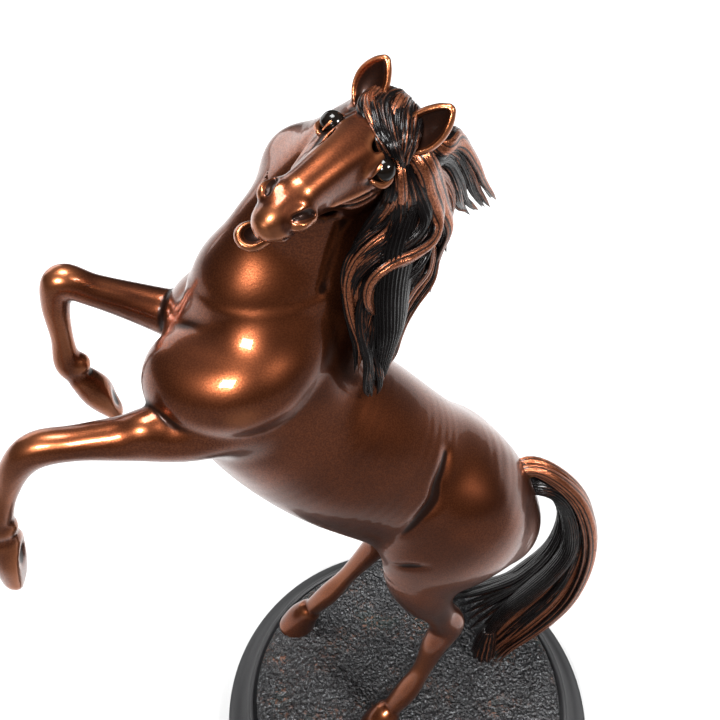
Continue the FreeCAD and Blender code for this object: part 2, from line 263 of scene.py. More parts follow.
def turf_heights(across):
    """Heights over a square grid: soft mounds, then thousands of short ridged strokes on top."""
    x, y = np.meshgrid(across, across, indexing="ij")
    mound = 0.5 * np.sin(x / 9.0 + 1.3) * np.cos(y / 11.0) + 0.3 * np.sin(x / 4.1 - y / 5.3)
    for cx, cy, tall, wide in ((-38, 34, 1.6, 9), (-14, -12, 1.5, 9), (31, 9, 1.2, 13), (-28, 6, 1.4, 10),
                               (-2, -30, 0.8, 11), (8, 20, 0.7, 12), (-46, -8, 0.9, 8)):
        mound += tall * np.exp(-((x - cx) ** 2 + (y - cy) ** 2) / wide ** 2)
    blades = np.zeros_like(mound)
    step = across[1] - across[0]
    reach, stroke_count = 12, 15000
    for _ in range(stroke_count):
        cx, cy = chance.uniform(-ground_radius, ground_radius, 2)
        angle = chance.uniform(0, np.pi) + 0.8 * np.sin(cx / 13) + 0.6 * np.cos(cy / 9)
        long, thin, tall = chance.uniform(0.8, 1.8), chance.uniform(0.2, 0.36), chance.uniform(0.25, 0.8)
        i, j = int((cx - across[0]) / step), int((cy - across[0]) / step)
        window = (slice(max(i - reach, 0), i + reach), slice(max(j - reach, 0), j + reach))
        u = (x[window] - cx) * np.cos(angle) + (y[window] - cy) * np.sin(angle)
        v = (y[window] - cy) * np.cos(angle) - (x[window] - cx) * np.sin(angle)
        v = v - 0.12 * u * u
        stroke = tall * np.exp(-(v / thin) ** 2) * np.clip(1 - (u / long) ** 2, 0, 1) * (1 + 0.4 * u / long)
        blades[window] = np.maximum(blades[window], stroke)
    return mound, blades


def read_off(table, x, y, start, step):
    """Values of a square table at scattered places, blended between its four nearest entries."""
    u, v = (x - start) / step, (y - start) / step
    i, j = np.floor(u).astype(int), np.floor(v).astype(int)
    u, v = u - i, v - j
    return ((table[i, j] * (1 - u) + table[i + 1, j] * u) * (1 - v)
            + (table[i, j + 1] * (1 - u) + table[i + 1, j + 1] * u) * v)


turf_step = 0.25
across = np.arange(-ground_radius - 1, ground_radius + 1.5, turf_step)
mound, blades = turf_heights(across)
count = 288
side = np.linspace(-1, 1, count)
a, b = np.meshgrid(side, side, indexing="ij")
shrink = np.maximum(abs(a), abs(b)) / np.maximum(np.hypot(a, b), 1e-9) * (ground_radius - 0.15)
x, y = a * shrink, b * shrink
blade = read_off(blades, x, y, across[0], turf_step)
rim_fall = np.clip((np.hypot(x, y) - ground_radius + 3.5) / 3.5, 0, 1) ** 2
z = ground_top - 0.5 + read_off(mound, x, y, across[0], turf_step) * (1 - rim_fall) + blade - 1.2 * rim_fall
top = np.stack([x, y, z], -1).reshape(-1, 3)
index = np.arange(count * count).reshape(count, count)
rim = np.concatenate([index[:-1, 0], index[-1, :-1], index[:0:-1, -1], index[0, :0:-1]])
skirt = top[rim] * [1, 1, 0] + [0, 0, ground_low[2]]
under = len(top) + np.arange(len(rim))
walls = np.stack([np.roll(rim, -1), rim, under, np.roll(under, -1)], 1)
turf_faces = list(grid_faces(count, count, closed=False)[:, ::-1]) + list(walls) + [under]


def dark_turf():
    """Near-black patina under lacquer; copper shows on blade tips, dull green lies in cloudy patches."""
    finish, place, join = new_finish("dark_turf", Coat_Weight=0.12, Coat_Roughness=0.2)
    tip = place.node("ShaderNodeAttribute", {"attribute_name": "tip"}, None, out=2)
    cloud = place.node("ShaderNodeTexNoise", None, {"Vector": place, "Scale": 55.0, "Detail": 3.0})
    speck = place.node("ShaderNodeTexNoise", None, {"Vector": place, "Scale": 1400.0, "Detail": 2.0})
    green = cloud.rise(0.56, 0.72) * 0.5
    rubbed = tip.rise(0.35, 0.8) * cloud.rise(0.48, 0.66) * (0.3 + speck)
    ground = green.blend((0.0055, 0.0052, 0.006, 1), (0.005, 0.016, 0.013, 1))
    copper = rubbed.blend(ground, (0.30, 0.13, 0.075, 1))
    # painted glint: grey specks in the colour stand in for sparkle
    painted_glint = speck.rise(0.56, 0.66) * (1 - rubbed)
    join("Base Color", painted_glint.blend(copper, (0.10, 0.105, 0.11, 1)))
    join("Metallic", 0.35 + rubbed * 0.6)
    join("Roughness", 0.42 - speck * 0.16)
    gritty = place.node("ShaderNodeTexNoise", None, {"Vector": place, "Scale": 800.0, "Detail": 4.0})
    join("Normal",
         place.node("ShaderNodeBump", None, {"Height": gritty, "Strength": 1.0, "Distance": 0.0012}))
    return finish


piece("modelled_turf", np.concatenate([top, skirt]), turf_faces, dark_turf(), ["ground_casting"],
      {"tip": np.concatenate([blade.reshape(-1), np.zeros(len(rim))])})

# ------------------------------------------------------------------ the coat
# Trunk, neck and four legs are separate bronze castings, brazed over their dowels
# and chased until the skin runs on without a seam.  Their muscles flow into each
# other, so the skin is modelled as one block of clay, then cut into the castings.


def through(rows, count):
    """A smooth curve through rows of values (Catmull-Rom), read at evenly spaced counts."""
    rows = np.asarray(rows, float)
    held = np.vstack([2 * rows[0] - rows[1], rows, 2 * rows[-1] - rows[-2]])
    at = np.linspace(0, len(rows) - 1, count)
    i = np.minimum(at.astype(int), len(rows) - 2)
    u = (at - i)[:, None]
    a, b, c, d = held[i], held[i + 1], held[i + 2], held[i + 3]
    return 0.5 * (2 * b + (c - a) * u + (2 * a - 5 * b + 4 * c - d) * u ** 2
                  + (3 * b - a - 3 * c + d) * u ** 3)


def softly(one, other, soft):
    """The smaller of two distances, rounded where they meet over a width of soft."""
    near = np.maximum(soft - np.abs(one - other), 0) / soft
    return np.minimum(one, other) - near * near * soft * 0.25


class Clay:
    """A block of modelling clay: distances to its skin on a cubic grid, below zero inside.

    The block may stand turned: origin and axes give its own frame, and everything is rolled
    and read in the statue's frame.
    """

    FAR = 10.0

    def __init__(self, low, high, pitch, origin=(0, 0, 0), axes=np.eye(3)):
        self.low, self.pitch = np.array(low, float), pitch
        self.origin, self.axes = np.array(origin, float), np.asarray(axes, float)
        self.size = np.ceil((np.array(high, float) - self.low) / pitch).astype(int) + 1
        self.field = np.full(self.size, self.FAR, np.float32)
        self.nearest = np.full(self.size, self.FAR, np.float32)
        self.owner = np.zeros(self.size, np.int8)
        # painted shade: darkness put into the colour wherever a shape is carved out
        self.painted_shade = np.zeros(self.size, np.float32)

    def window(self, low, high):
        start = np.clip(np.floor((low - self.low) / self.pitch).astype(int), 0, self.size)
        stop = np.clip(np.ceil((high - self.low) / self.pitch).astype(int) + 1, 0, self.size)
        return start, stop

    def places(self, start, stop):
        axes = [self.low[i] + self.pitch * np.arange(start[i], stop[i], dtype=np.float32) for i in range(3)]
        return np.meshgrid(*axes, indexing="ij", sparse=True)

    def work(self, start, stop, distance, soft, carve, owner):
        """Joins a shape to the clay, or carves it out, with a rounded meeting line.

        carve is False, or how much painted shade (darker colour) is put into the carved hollow, up to 2.
        """
        window = tuple(slice(a, b) for a, b in zip(start, stop))
        here = self.field[window]
        self.field[window] = -softly(-here, distance, soft) if carve else softly(here, distance, soft)
        if carve:
            # painted shade: the carve amount darkens the colour just inside the cut
            painted_shade_in_cut = carve * np.clip(1 - distance / 0.7, 0, 1)
            self.painted_shade[window] = np.maximum(self.painted_shade[window], painted_shade_in_cut)
        else:
            closer = distance < self.nearest[window]
            self.nearest[window][closer] = distance[closer]
            self.owner[window][closer] = owner

    def roll(self, rows, soft, flank=(0, 1, 0), carve=False, owner=0, count=None):
        """A coil of clay along a curve: rows of x, y, z, half width along the flank, half depth.

        The distance is that of an ellipse whose centre and size run evenly between stations.
        """
        rows = np.asarray(rows, float)
        count = count or 6 * (len(rows) - 1) + 1
        path = through(rows, count)
        centre = (path[:, :3] - self.origin) @ self.axes.T
        wide, deep = np.maximum(path[:, 3], 0.1), np.maximum(path[:, -1], 0.1)
        flank = np.tile(flank, (count, 1)) if np.ndim(flank) == 1 else through(flank, count)
        flank = flank @ self.axes.T
        reach = np.maximum(wide, deep) + soft + 1.5
        start, stop = self.window((centre - reach[:, None]).min(0), (centre + reach[:, None]).max(0))
        if (stop <= start).any():
            return
        distance = np.full(stop - start, self.FAR, np.float32)
        for i in range(count - 1):
            far = max(reach[i], reach[i + 1])
            begin, end = self.window(np.minimum(centre[i], centre[i + 1]) - far,
                                     np.maximum(centre[i], centre[i + 1]) + far)
            begin, end = np.maximum(begin, start), np.minimum(end, stop)
            if (end <= begin).any():
                continue
            x, y, z = self.places(begin, end)
            along = centre[i + 1] - centre[i]
            length = np.linalg.norm(along) + 1e-9
            along = along / length
            across = flank[i] - along * (flank[i] @ along)
            across = across / np.linalg.norm(across)
            up = np.cross(along, across)
            dx, dy, dz = x - centre[i][0], y - centre[i][1], z - centre[i][2]
            run = dx * along[0] + dy * along[1] + dz * along[2]
            share = np.clip(run / length, 0, 1)
            w = wide[i] + (wide[i + 1] - wide[i]) * share
            d = deep[i] + (deep[i + 1] - deep[i]) * share
            least = np.minimum(w, d)
            u = (dx * across[0] + dy * across[1] + dz * across[2]) / w
            v = (dx * up[0] + dy * up[1] + dz * up[2]) / d
            past = (run - share * length) / least
            ratio = np.sqrt(u * u + v * v + past * past) + 1e-6
            slope = np.sqrt((u / w) ** 2 + (v / d) ** 2 + (past / least) ** 2) + 1e-6
            part = tuple(slice(a - c, b - c) for a, b, c in zip(begin, end, start))
            distance[part] = np.minimum(distance[part], (ratio * (ratio - 1) / slope).astype(np.float32))
        self.work(start, stop, distance, soft, carve, owner)

    def ball(self, centre, radii, soft, axes=np.eye(3), carve=False, owner=0):
        """An oval ball with its radii along the given axes."""
        centre = (np.array(centre, float) - self.origin) @ self.axes.T
        radii = np.ones(3) * radii
        reach = radii.max() + soft + 1.5
        start, stop = self.window(centre - reach, centre + reach)
        if (stop <= start).any():
            return
        x, y, z = self.places(start, stop)
        x, y, z = x - centre[0], y - centre[1], z - centre[2]
        along = [(x * a[0] + y * a[1] + z * a[2]) / r for a, r in zip(np.asarray(axes) @ self.axes.T, radii)]
        ratio = np.sqrt(sum(p * p for p in along)) + 1e-6
        slope = np.sqrt(sum((p / r) ** 2 for p, r in zip(along, radii))) + 1e-6
        distance = np.clip(ratio * (ratio - 1) / slope, -60, self.FAR).astype(np.float32)
        self.work(start, stop, distance, soft, carve, owner)

    def slice_off(self, point, facing, reach, soft=0.8):
        """Cuts the clay flat at a point: whatever lies on the facing side within reach goes."""
        point = (np.array(point, float) - self.origin) @ self.axes.T
        facing = np.array(facing, float) @ self.axes.T
        facing = facing / np.linalg.norm(facing)
        start, stop = self.window(point - reach, point + reach)
        x, y, z = self.places(start, stop)
        depth = (x - point[0]) * facing[0] + (y - point[1]) * facing[1] + (z - point[2]) * facing[2]
        self.work(start, stop, -depth.astype(np.float32), soft, 1e-6, 0)

    def blank(self, low, high):
        """An empty block on the same grid, for shapes that are to meet this clay in a crisp fold."""
        start, stop = self.window(np.array(low, float), np.array(high, float))
        return Clay(self.low + start * self.pitch, self.low + (stop - 1) * self.pitch, self.pitch,
                    self.origin, self.axes)

    def lay(self, other, soft, owner=0):
        """Lays a whole block of other clay on."""
        start = np.rint((other.low - self.low) / self.pitch).astype(int)
        self.work(start, start + other.size, other.field, soft, False, owner)

    def blur(self, field, rounds):
        """A field smoothed along each axis by quarter, half, quarter."""
        field = field.copy()
        for _ in range(rounds):
            for axis in range(3):
                turned_field = np.moveaxis(field, axis, 0)
                sides = turned_field[:-2] + turned_field[2:]
                turned_field[1:-1] *= 0.5
                turned_field[1:-1] += sides * 0.25
        return field

    def read(self, field, points):
        """A field's values at points of the statue, blended between the eight nearest grid places."""
        at = ((points - self.origin) @ self.axes.T - self.low) / self.pitch
        i = np.clip(np.floor(at).astype(int), 0, self.size - 2)
        f = at - i
        total = 0
        for corner in np.ndindex(2, 2, 2):
            share = np.prod(np.where(corner, f, 1 - f), axis=1)
            total = total + share * field[i[:, 0] + corner[0], i[:, 1] + corner[1], i[:, 2] + corner[2]]
        return total

    def owners(self, points):
        """The owner of the grid place nearest to each point."""
        at = np.rint(((points - self.origin) @ self.axes.T - self.low) / self.pitch).astype(int)
        return self.owner[tuple(np.clip(at, 0, self.size - 1).T)]

    def skin(self, rounds=2, hollow_rounds=9):
        """The clay's surface: points, quads, outward normals and how hollow each place is, in millimetres,
        with the painted shade left in its carved hollows.
        """
        smooth = self.blur(self.field, rounds)
        grid = openvdb.FloatGrid(self.FAR)
        grid.copyFromArray(smooth)
        points, quads = grid.convertToQuads(0.0)
        points = (points * self.pitch + self.low) @ self.axes + self.origin
        quads = quads.astype(int)
        corner = points[quads]
        facing = np.cross(corner[:, 2] - corner[:, 0], corner[:, 3] - corner[:, 1])
        normals = np.stack([sum(np.bincount(quads[:, k], facing[:, i], len(points)) for k in range(4))
                            for i in range(3)], 1)
        normals /= np.linalg.norm(normals, axis=1, keepdims=True) + 1e-12
        if self.read(smooth, points[::50] + normals[::50] * self.pitch).mean() < 0:
            quads, normals = quads[:, ::-1], -normals
        hollow = self.read(smooth, points) - self.read(self.blur(smooth, hollow_rounds), points)
        return points, quads, normals, hollow, self.read(self.blur(self.painted_shade, 2), points)


# The head's own frame: along the face, to the horse's left and up through the poll.
# The origin, the size and the axes come from a least-squares fit to points picked on the photo.
poll = np.array([-9.2, 3.2, 259.2])
head_size = 0.915
muzzle_share = 0.84
face_axes = np.array([[-0.689, -0.725, 0.016], [0.637, -0.616, -0.463], [0.346, -0.309, 0.886]])
neck_cut = np.array([-24.05, 1.74, 240.7])
neck_cut_facing = np.array([-0.026, -0.62, 0.787])
middle = 8.0
TRUNK, NECK, LEFT_FORE, RIGHT_FORE, LEFT_HIND, RIGHT_HIND, HEAD = range(7)


def on_head(rows):
    """Rows given in the head's frame, along, left, up and half sizes, laid into the statue."""
    rows = np.array(rows, float)
    muzzle = np.maximum(rows[:, 0] - 20, 0)
    rows[:, 0] -= muzzle * (1 - muzzle_share)
    return np.concatenate([poll + head_size * rows[:, :3] @ face_axes, rows[:, 3:] * head_size], 1)


def lay_neck(clay):
    """The neck's thick crest column, turning as the head turns."""
    clay.roll([(-41, middle, 193, 14, 21), (-36, middle, 207, 12.5, 22), (-30, middle + 1, 221, 11.5, 20.5),
               (-24.5, middle + 1.5, 233, 11, 18), (-19, middle + 1, 244, 10.5, 14.5),
               (-14, middle - 2, 252, 8.5, 9.5)], 9,
              [(0, 1, 0), (0, 1, 0), (-.1, .99, .1), (-.25, .9, .25), (-.45, .8, .4), (-.6, .6, .45)],
              owner=NECK, count=40)
    clay.ball((-28.5, middle + 8, 240.5), (8.5, 8, 8.5), 7, owner=NECK)


def lay_skull(clay):
    """The head's large masses: skull, muzzle, cheeks and lower jaw."""
    left = face_axes[1]
    clay.roll(on_head([(0, 0, -7.5, 6.6, 7), (8, 0, -9.5, 8.6, 9.5), (16, 0, -9.5, 8.2, 9.5),
                       (24, 0, -8.6, 6.2, 7.4), (32, 0, -8.4, 5, 5.8), (38, 0, -9, 4.9, 5.2),
                       (43, 0, -10, 4.2, 4.4), (45.5, 0, -11, 3.2, 3.4)]), 3, left, owner=HEAD, count=50)
    for side in (-1, 1):
        clay.ball(on_head([(9.5, side * 4.6, -14.5)])[0], np.array([9, 3.6, 8]) * head_size, 3, face_axes,
                  owner=HEAD)
    clay.roll(on_head([(12, 0, -17.5, 4.5, 5), (24, 0, -16, 3.4, 4), (34, 0, -17, 2.8, 2.8),
                       (38, -1, -18.4, 2.8, 2.2), (42, -2.6, -19.6, 2.4,
                                                   1.8)]), 2, left, owner=HEAD, count=30)


def lay_trunk(clay):
    """Barrel, haunches, shoulders and breast, laid on as rounded rolls."""
    clay.roll([(31, middle, 106, 10, 10), (24, middle, 114, 18, 17), (10, middle, 129, 22.5, 23.5),
               (-7, middle, 144, 22.5, 25), (-23, middle, 160, 24, 26), (-37, middle, 176, 22, 24.5),
               (-47, middle, 190, 18, 20), (-54, middle, 198, 11, 12)], 6, count=50)
    for side in (-1, 1):
        clay.ball((9, middle + side * 14, 125), (18, 11, 23), 8)
        clay.ball((-41, middle + side * 13, 189), (14, 8, 20), 8)


def lay_shoulders(clay):
    """Breast and shoulders, one swelling mass that ends over ribs, forearm and neck."""
    mass = clay.blank((-85, -20, 170), (-10, 36, 240))
    for side in (-1, 1):
        lean = np.array([0.93, -side * 0.28, 0.22])
        up = np.cross([0, 1, 0], lean) * -1
        up = up / np.linalg.norm(up)
        axes = np.array([lean, np.cross(up, lean), up])
        mass.ball((-46, middle + side * 10.6, 199), (19, 15.5, 14), 4, axes)
        mass.ball((-36, middle + side * 5, 207), (14, 11, 12), 7, axes)
    mass.ball((-58.5, middle - 8.5, 196), (12, 11.5, 13), 7)
    mass.ball((-52, middle + 6, 198), (10, 10, 13), 7)
    clay.lay(mass, 1.0, owner=TRUNK)
    for side in (-1, 1):
        clay.ball((-40, middle + side * 4.5, 216), (12, 9, 10), 9)
    clay.ball((-70, middle - 18.5, 192), (4.4, 4, 4.2), 3, owner=LEFT_FORE)


def both_sides(rows):
    """The same rows for the left flank and mirrored for the right."""
    rows = np.asarray(rows, float)
    yield rows
    yield np.concatenate([rows[:, :1], 2 * middle - rows[:, 1:2], rows[:, 2:]], 1)


def lay_legs(clay):
    """Four legs: bone and sinew from the elbow or stifle down to the hoof."""
    left, right = middle - 17, middle + 17
    clay.roll([(-48, left + 1, 192, 8, 10), (-60, left, 188, 7, 8.2), (-74, left - 1, 189, 5.2, 6),
               (-86, left - 1, 189.5, 4.2, 4.4), (-95, left - 1, 189, 4.1, 4.6),
               (-101, left - 1, 184, 3.5, 3.8), (-106, left - 1, 175, 2.8, 3.0),
               (-110, left - 1, 167, 3.4, 3.8), (-111.5, left - 1, 160, 2.9, 3.1)], 5, owner=LEFT_FORE)
    clay.roll([(-110.6, left - 1, 157.5, 4.2, 4.4), (-110.5, left - 1, 151, 5.0, 5.6),
               (-111.5, left - 1, 143, 4.6, 4.2)], 0.7, owner=LEFT_FORE)
    clay.slice_off((-108.2, left - 1, 150), (0.97, -0.1, -0.2), 12)
    # painted shade: the cut at the hoof is darkened, carve=1.0
    clay.ball((-107.5, left - 1, 150.5), (1.6, 3.2, 4.6), 1, carve=1.0)
    clay.ball((-109.5, left - 1, 163), (3.4, 3.3, 3.2), 1.5, owner=LEFT_FORE)
    clay.roll([(-48, right - 2, 190, 8, 9), (-60, right - 1, 195, 6, 7), (-72, right, 201, 4.6, 5.2),
               (-81, right, 206, 4.0, 4.2), (-87.5, right, 209.5, 4.2, 4.4), (-90.5, right, 203, 3.4, 3.6),
               (-91.5, right, 192, 2.7, 2.9), (-92, right, 183, 3.2, 3.6), (-90, right, 178, 2.8, 2.9)],
              5, owner=RIGHT_FORE)
    clay.roll([(-89.5, right, 177, 3.8, 3.8), (-86.5, right, 171, 4.6, 4.6), (-83.5, right, 163.5, 3.4, 2.2)],
              0.7, owner=RIGHT_FORE)
    clay.ball((-89.5, right, 182.5), (3.2, 3.2, 3.2), 1.2, owner=RIGHT_FORE)
    # painted shade: the fetlock crease and the hoof cut below it are darkened, carve=1.0
    clay.roll([(-87.5, right - 4, 180), (-86.5, right, 179.5), (-87.5, right + 4, 180)] @ np.eye(3, 4)
              + [0, 0, 0, 0.7], 0.8, carve=1.0)
    clay.slice_off((-82.2, right, 169.5), (0.97, 0, 0.2), 12)
    clay.ball((-81.6, right, 169.5), (1.4, 2.8, 4.0), 1, carve=1.0)
    clay.roll([(8, middle - 13, 133, 9, 20), (4, middle - 16, 122, 9, 18), (0, left, 112, 8, 13),
               (1, left, 100, 7, 9), (6, left + 1.5, 86, 5.0, 5.6), (10, left + 2, 75, 4.4, 6.0),
               (6, left + 1, 64, 4, 4.6), (2, left, 50, 3.2, 3.4), (-3, left - 1, 38, 3.9, 4.3),
               (-8, left - 2, 30, 3.5, 3.6)], 5, owner=LEFT_HIND)
    clay.roll([(-10.6, left - 2.6, 26.5, 4.7, 5.0), (-12.5, left - 3.2, 22.5, 5.6, 6.2),
               (-14, left - 3.5, 18, 6.2, 7.2)], 0.7, owner=LEFT_HIND)
    clay.roll([(6, middle + 13, 133, 9, 20), (-2, middle + 16, 122, 9, 18), (-10, right + 1, 111, 8, 12),
               (-12, right + 2, 98, 6.5, 8.5), (-7, right + 3, 86, 4.8, 5.5), (-5, right + 4, 78, 4.4, 6.0),
               (-10, right + 5, 68, 4, 4.6), (-18, right + 6, 54, 3.2, 3.4), (-25, right + 7, 42, 3.9, 4.3),
               (-31, right + 8, 33, 3.5, 3.6)], 5, owner=RIGHT_HIND)
    clay.roll([(-33.6, right + 8.5, 29, 4.6, 5), (-36.5, right + 9, 24, 5.6, 6.2),
               (-39, right + 9, 18, 6.2, 7.2)],
              0.7, owner=RIGHT_HIND)


# Eleven of the twelve rows follow positions that a scratch program printed from points picked on the photo.
def crease_coat(clay):
    """Folds and hollows cut into the coat with a loop tool and darkened with painted shade: rows of x, y, z
    and half width.
    """
    for rows, soft in (([(-22.2, -2.8, 236, .7), (-24.4, -3.2, 228, 1.2), (-27, -4, 220.8, .8)], 2.5),
                       ([(4.4, -5.2, 162.2, .5), (3, -8.6, 159.4, 1.2), (1.2, -11.2, 156.4, 1.6),
                         (-.3, -13.2, 152, 1.7), (-4.6, -15, 146.8, 1.4), (-9, -15.5, 141, .6)], 2.6),
                       ([(-12, -13.5, 124.5, .5), (-6.9, -16.2, 126.8, 1.1), (-2.2, -17.8, 127.7, .6)], 1.0)):
        for mirrored in both_sides(rows):
            # painted shade in each fold, carve=0.35
            clay.roll(mirrored, soft, carve=0.35)


coat_pitch = 0.6
coat = Clay((-128, -26, 17), (58, 45, 263), coat_pitch)
lay_trunk(coat)
lay_neck(coat)
lay_legs(coat)
lay_shoulders(coat)
crease_coat(coat)
lay_skull(coat)


def loops(edges):
    """Numbers joined edges alike: points take their neighbours' least number until none changes."""
    points, ends = np.unique(edges, return_inverse=True)
    ends = ends.reshape(-1, 2)
    label = np.arange(len(points))
    while True:
        least = label[ends].min(1)
        fresh = label.copy()
        np.minimum.at(fresh, ends[:, 0], least)
        np.minimum.at(fresh, ends[:, 1], least)
        fresh = fresh[fresh]
        if (fresh == label).all():
            return label[ends[:, 0]]
        label = fresh


def cast(name, keep, skin, finish, nodes):
    """One casting: its faces of the skin, with every cut opening closed by a fan of triangles inside."""
    points, quads, normals, hollow, painted_shade = skin
    # the hollow layer: the hollow measure, for patina in the folds, plus painted shade from the carved
    # hollows
    hollow = 1.3 * hollow + 0.3 * painted_shade
    used, faces = np.unique(quads[keep], return_inverse=True)
    faces = faces.reshape(-1, 4)
    edge = np.stack([faces, np.roll(faces, -1, 1)], -1).reshape(-1, 2)
    key = edge[:, 0] * len(used) + edge[:, 1]
    back = edge[:, 1] * len(used) + edge[:, 0]
    rim = edge[~np.isin(key, back)]
    points, normals, hollow = points[used], normals[used], hollow[used]
    caps = []
    if len(rim):
        label = loops(rim)
        for one in np.unique(label):
            hoop = rim[label == one]
            caps.append(np.column_stack([hoop[:, ::-1], np.full(len(hoop), len(points))]))
            points = np.vstack([points, points[hoop[:, 0]].mean(0)])
            normals = np.vstack([normals, normals[hoop[:, 0]].mean(0) + 1e-3])
            hollow = np.append(hollow, 0)
    return piece(name, points, list(faces) + [fan for cap in caps for fan in cap], finish, nodes,
                 {"hollow": hollow}, normals)


def bronze(name):
    """Antiqued bronze under clear lacquer: copper where rubbed, near-black patina in the folds with painted
    shade in the carved hollows, fine metal grain.
    """
    finish, place, join = new_finish(name, Coat_Roughness=0.06, Coat_IOR=1.4, Specular_IOR_Level=0.1)
    hollow = place.node("ShaderNodeAttribute", {"attribute_name": "hollow"}, None, out=2)
    grain = place.node("ShaderNodeTexNoise", None, {"Vector": place, "Scale": 2600.0, "Detail": 2.0})
    cloud = place.node("ShaderNodeTexNoise", None, {"Vector": place, "Scale": 38.0, "Detail": 2.0})
    speck = grain.rise(0.36, 0.66)
    smoky = cloud.rise(0.44, 0.70) * 0.55
    edge = 1 - hollow.rise(-0.55, -0.18)
    # dark: near-black patina in the folds, and painted shade where hollows were carved
    dark = hollow.rise(0.04, 0.26) * 0.93

    body = speck.blend((0.115, 0.031, 0.012, 1), (0.205, 0.058, 0.022, 1))
    smoked = smoky.blend(body, (0.05, 0.015, 0.008, 1))
    rubbed = (edge * 0.6).blend(smoked, (0.46, 0.16, 0.065, 1))
    join("Base Color", dark.blend(rubbed, (0.004, 0.0022, 0.0018, 1)))
    join("Metallic", 0.95 - dark * 0.4)
    join("Coat Weight", 0.5 - dark * 0.42)
    join("Roughness", 0.33 - speck * 0.05 + dark * 0.06)
    join("Normal",
         place.node("ShaderNodeBump", None, {"Height": grain, "Strength": 0.08, "Distance": 0.00012}))
    return finish


coat_bronze = bronze("coat_bronze")
skin = coat.skin()
centre = skin[0][skin[1]].mean(1)
owner = coat.owners(centre)
past_cut = (centre - neck_cut) @ neck_cut_facing
owner[(owner == HEAD) & (past_cut < 0.5)] = NECK
owner[past_cut > 0.5] = np.where((centre[:, 2] > 225)[past_cut > 0.5], HEAD, owner[past_cut > 0.5])
for code, name in ((TRUNK, "trunk"), (NECK, "neck"), (LEFT_FORE, "left_foreleg"),
                   (RIGHT_FORE, "right_foreleg"),
                   (LEFT_HIND, "left_hind_leg"), (RIGHT_HIND, "right_hind_leg")):
    node = name if name.endswith("leg") else name + "_casting"
    cast("modelled_" + name, owner == code, skin, coat_bronze, [node])

# ------------------------------------------------------------------ head
# The head is one fine casting: bony face, glossy eyes in deep sockets, flared
# nostrils, parted lips and cupped ears.  It sits on the neck's two dowels and
# the joint behind the jaw is brazed and chased away.


def mirrored_on_head(rows):
    """Rows in the head's frame for the left side, then mirrored for the right."""
    rows = np.asarray(rows, float)
    for side in (1, -1):
        yield side, on_head(rows * np.where(np.arange(rows.shape[1]) == 1, side, 1))


